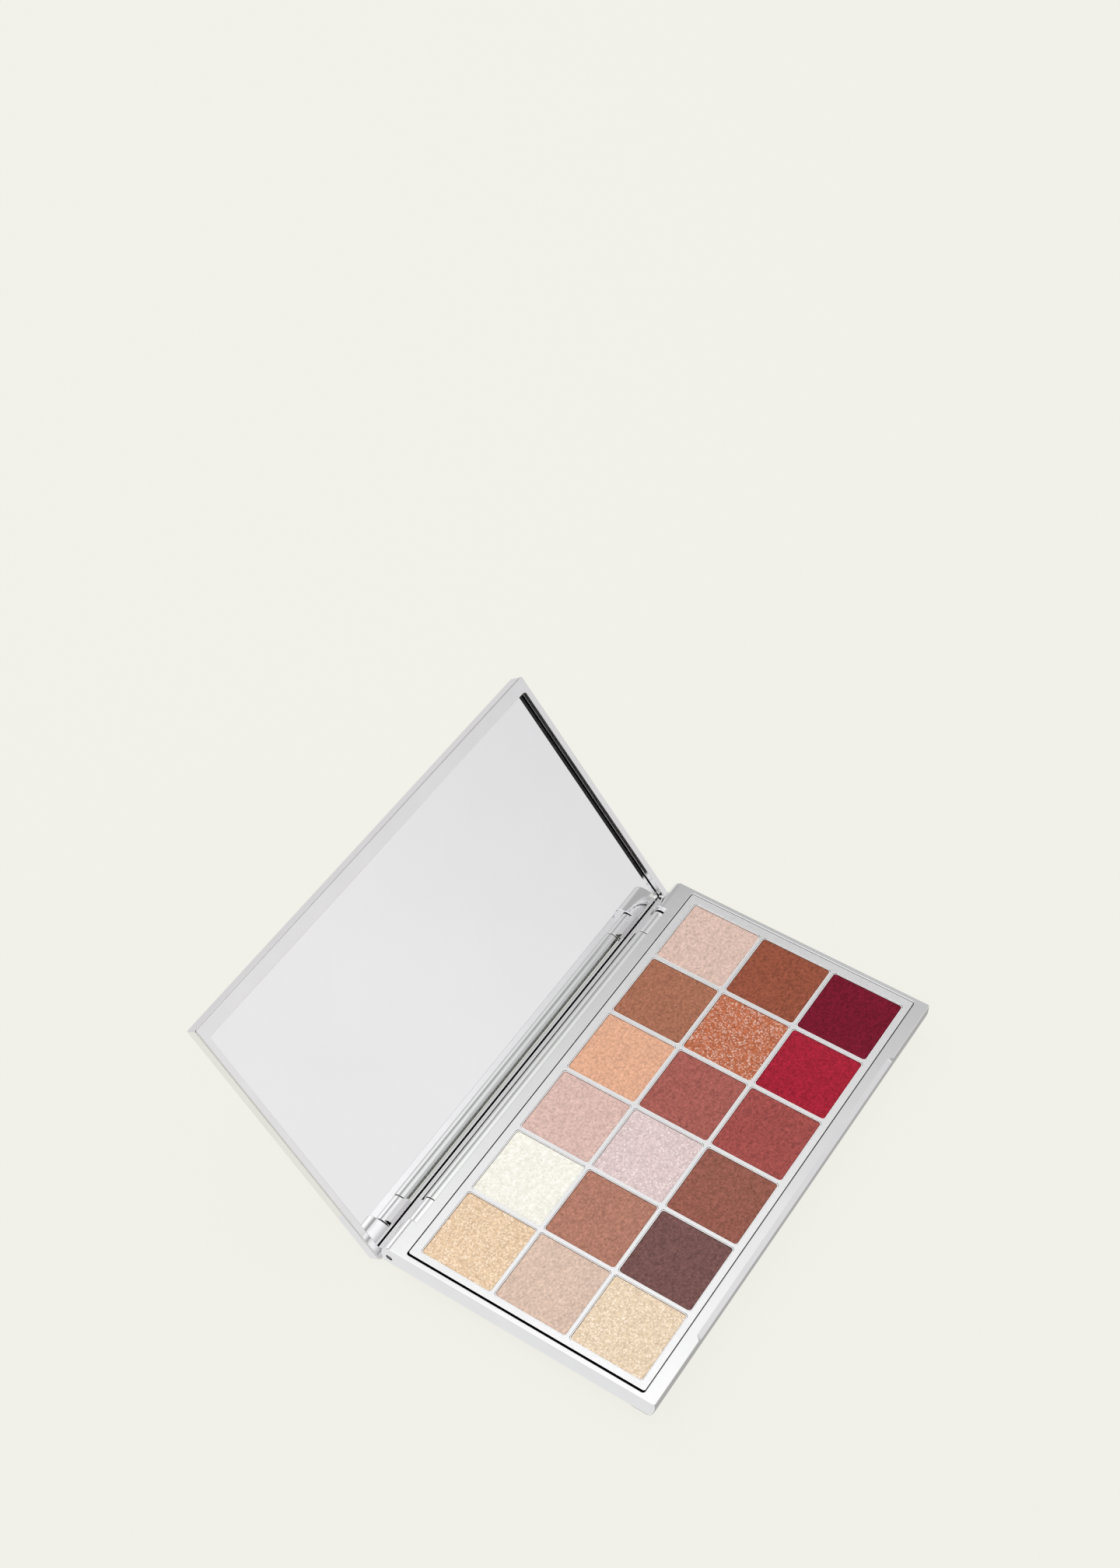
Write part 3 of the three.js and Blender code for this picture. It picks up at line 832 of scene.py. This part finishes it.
floor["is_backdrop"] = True

# cards lying flat on the floor, seen only as reflections in the metal
def card(name, x0, x1, y0, y1, rgb):
    gm = bpy.data.materials.new(name)
    gm.use_nodes = True
    gnt = gm.node_tree
    gnt.nodes.clear()
    gout = gnt.nodes.new("ShaderNodeOutputMaterial")
    gem = gnt.nodes.new("ShaderNodeEmission")
    gem.inputs["Color"].default_value = (*rgb, 1)
    gnt.links.new(gem.outputs[0], gout.inputs[0])
    c = new_object(name, [(x * MM, y * MM, -0.0001) for x, y in ((x0, y0), (x1, y0), (x1, y1), (x0, y1))], [(0, 1, 2, 3)])
    c.data.materials.append(gm)
    c.visible_camera = False
    c.visible_diffuse = False
    c.visible_shadow = False
    c.visible_transmission = False
    c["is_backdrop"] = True


card("grey_card", -71.2, 84, -66, -33.6, (0.435, 0.43, 0.42))
card("pale_card", -96, -71.3, -60, 60, (0.85, 0.85, 0.85))
card("rear_card", -500, 900, 180, 1200, (0.765, 0.757, 0.76))

world = bpy.data.worlds.new("studio")
scene.world = world
world.use_nodes = True
nt = world.node_tree
nt.nodes.clear()
wout = nt.nodes.new("ShaderNodeOutputWorld")
bg = nt.nodes.new("ShaderNodeBackground")
nt.links.new(bg.outputs[0], wout.inputs[0])
tc = nt.nodes.new("ShaderNodeTexCoord")


def direction(az, el):
    az, el = math.radians(az), math.radians(el)
    return (math.cos(el) * math.cos(az), math.cos(el) * math.sin(az), math.sin(el))


def wnode(kind, **p):
    n = nt.nodes.new(kind)
    for k, v in p.items():
        setattr(n, k, v)
    return n


nrm = wnode("ShaderNodeVectorMath", operation="NORMALIZE")
nt.links.new(tc.outputs["Generated"], nrm.inputs[0])


def blob(az, el, inner, outer):
    """1 inside inner degrees of a direction, 0 beyond outer degrees, smooth between."""
    d = wnode("ShaderNodeVectorMath", operation="DOT_PRODUCT")
    nt.links.new(nrm.outputs[0], d.inputs[0])
    d.inputs[1].default_value = direction(az, el)
    r = wnode("ShaderNodeMapRange", interpolation_type="SMOOTHSTEP")
    r.inputs["From Min"].default_value = math.cos(math.radians(outer))
    r.inputs["From Max"].default_value = math.cos(math.radians(inner))
    nt.links.new(d.outputs["Value"], r.inputs["Value"])
    return r.outputs["Result"]


def wmix(fac, a, b):
    m = wnode("ShaderNodeMix", data_type="RGBA")
    nt.links.new(fac, m.inputs[0])
    for sock, v in ((m.inputs[6], a), (m.inputs[7], b)):
        if isinstance(v, tuple):
            sock.default_value = (*v, 1.0)
        else:
            nt.links.new(v, sock)
    return m.outputs[2]


def wmath(op, a, b=0.0, clamp=None):
    m = wnode("ShaderNodeMath", operation=op)
    for sock, v in ((m.inputs[0], a), (m.inputs[1], b)):
        if isinstance(v, (int, float)):
            sock.default_value = v
        else:
            nt.links.new(v, sock)
    if clamp:
        c = wnode("ShaderNodeClamp")
        nt.links.new(m.outputs[0], c.inputs["Value"])
        c.inputs["Min"].default_value, c.inputs["Max"].default_value = clamp
        return c.outputs[0]
    return m.outputs[0]


# overhead soft box: brightness rises with elevation and a little with azimuth
wsep = wnode("ShaderNodeSeparateXYZ")
nt.links.new(nrm.outputs[0], wsep.inputs[0])
elev = wmath("MULTIPLY", wmath("ARCSINE", wsep.outputs[2]), 180 / math.pi)
azim = wmath("MULTIPLY", wmath("ARCTAN2", wsep.outputs[1], wsep.outputs[0]), 180 / math.pi)
side = wmath("MULTIPLY", wmath("SUBTRACT", azim, 30.0, (-12.0, 12.0)), 0.005)
level = wmath("ADD", wmath("MULTIPLY", wmath("SUBTRACT", elev, 56.0), 0.05), 0.78)
level = wmath("ADD", level, side, (0.50, 1.28))
grey = wnode("ShaderNodeCombineColor")
for k in range(3):
    nt.links.new(level, grey.inputs[k])
sky = grey.outputs[0]

# pale wall ahead of the mirror, a little darker to the right
wd = wnode("ShaderNodeVectorMath", operation="DOT_PRODUCT")
nt.links.new(nrm.outputs[0], wd.inputs[0])
wd.inputs[1].default_value = direction(33, 0)
fade = wnode("ShaderNodeMapRange")
fade.inputs["From Min"].default_value = -0.10
fade.inputs["From Max"].default_value = 0.08
fade.inputs["To Min"].default_value = 0.0
fade.inputs["To Max"].default_value = 1.0
nt.links.new(wd.outputs["Value"], fade.inputs["Value"])
wall = wmix(fade.outputs["Result"], (0.872, 0.868, 0.872), (0.745, 0.742, 0.750))
sky = wmix(blob(-62, 18, 28, 52), sky, wall)
sky = wmix(blob(165, 35, 24, 40), sky, (1.08, 1.08, 1.08))                     # white reflector on the left
sky = wmix(blob(-128, 10, 8, 17), sky, (0.02, 0.02, 0.02))                 # dark side of the room
nt.links.new(sky, bg.inputs["Color"])
bg.inputs["Strength"].default_value = 1.0

key = bpy.data.lights.new("key", "AREA")
key.shape = "SQUARE"
key.size = 0.9
key.energy = 5.0
ko = bpy.data.objects.new("key", key)
scene.collection.objects.link(ko)
kd = Vector(direction(70, 62))
ko.location = kd * 1.2
ko.rotation_euler = (-kd).to_track_quat("-Z", "Y").to_euler()
ko.visible_glossy = False

cam = bpy.data.cameras.new("camera")
cam.lens = 53.820
cam.shift_y = 0.06052
cam.sensor_width = 36.0
cam.clip_start = 0.01
cam.clip_end = 50.0
co = bpy.data.objects.new("camera", cam)
scene.collection.objects.link(co)
right = Vector((0.55077, -0.83444, -0.01897))
down = Vector((-0.65452, -0.41769, -0.63019))
fwd = Vector((0.51793, 0.35951, -0.77621))
rot = Matrix((right, -down, -fwd)).transposed().to_4x4()
co.matrix_world = Matrix.Translation((-0.29551, -0.17377, 0.53583)) @ rot
scene.camera = co

scene.view_settings.view_transform = "Standard"
scene.view_settings.look = "None"

bpy.context.view_layer.update()
lo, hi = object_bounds()
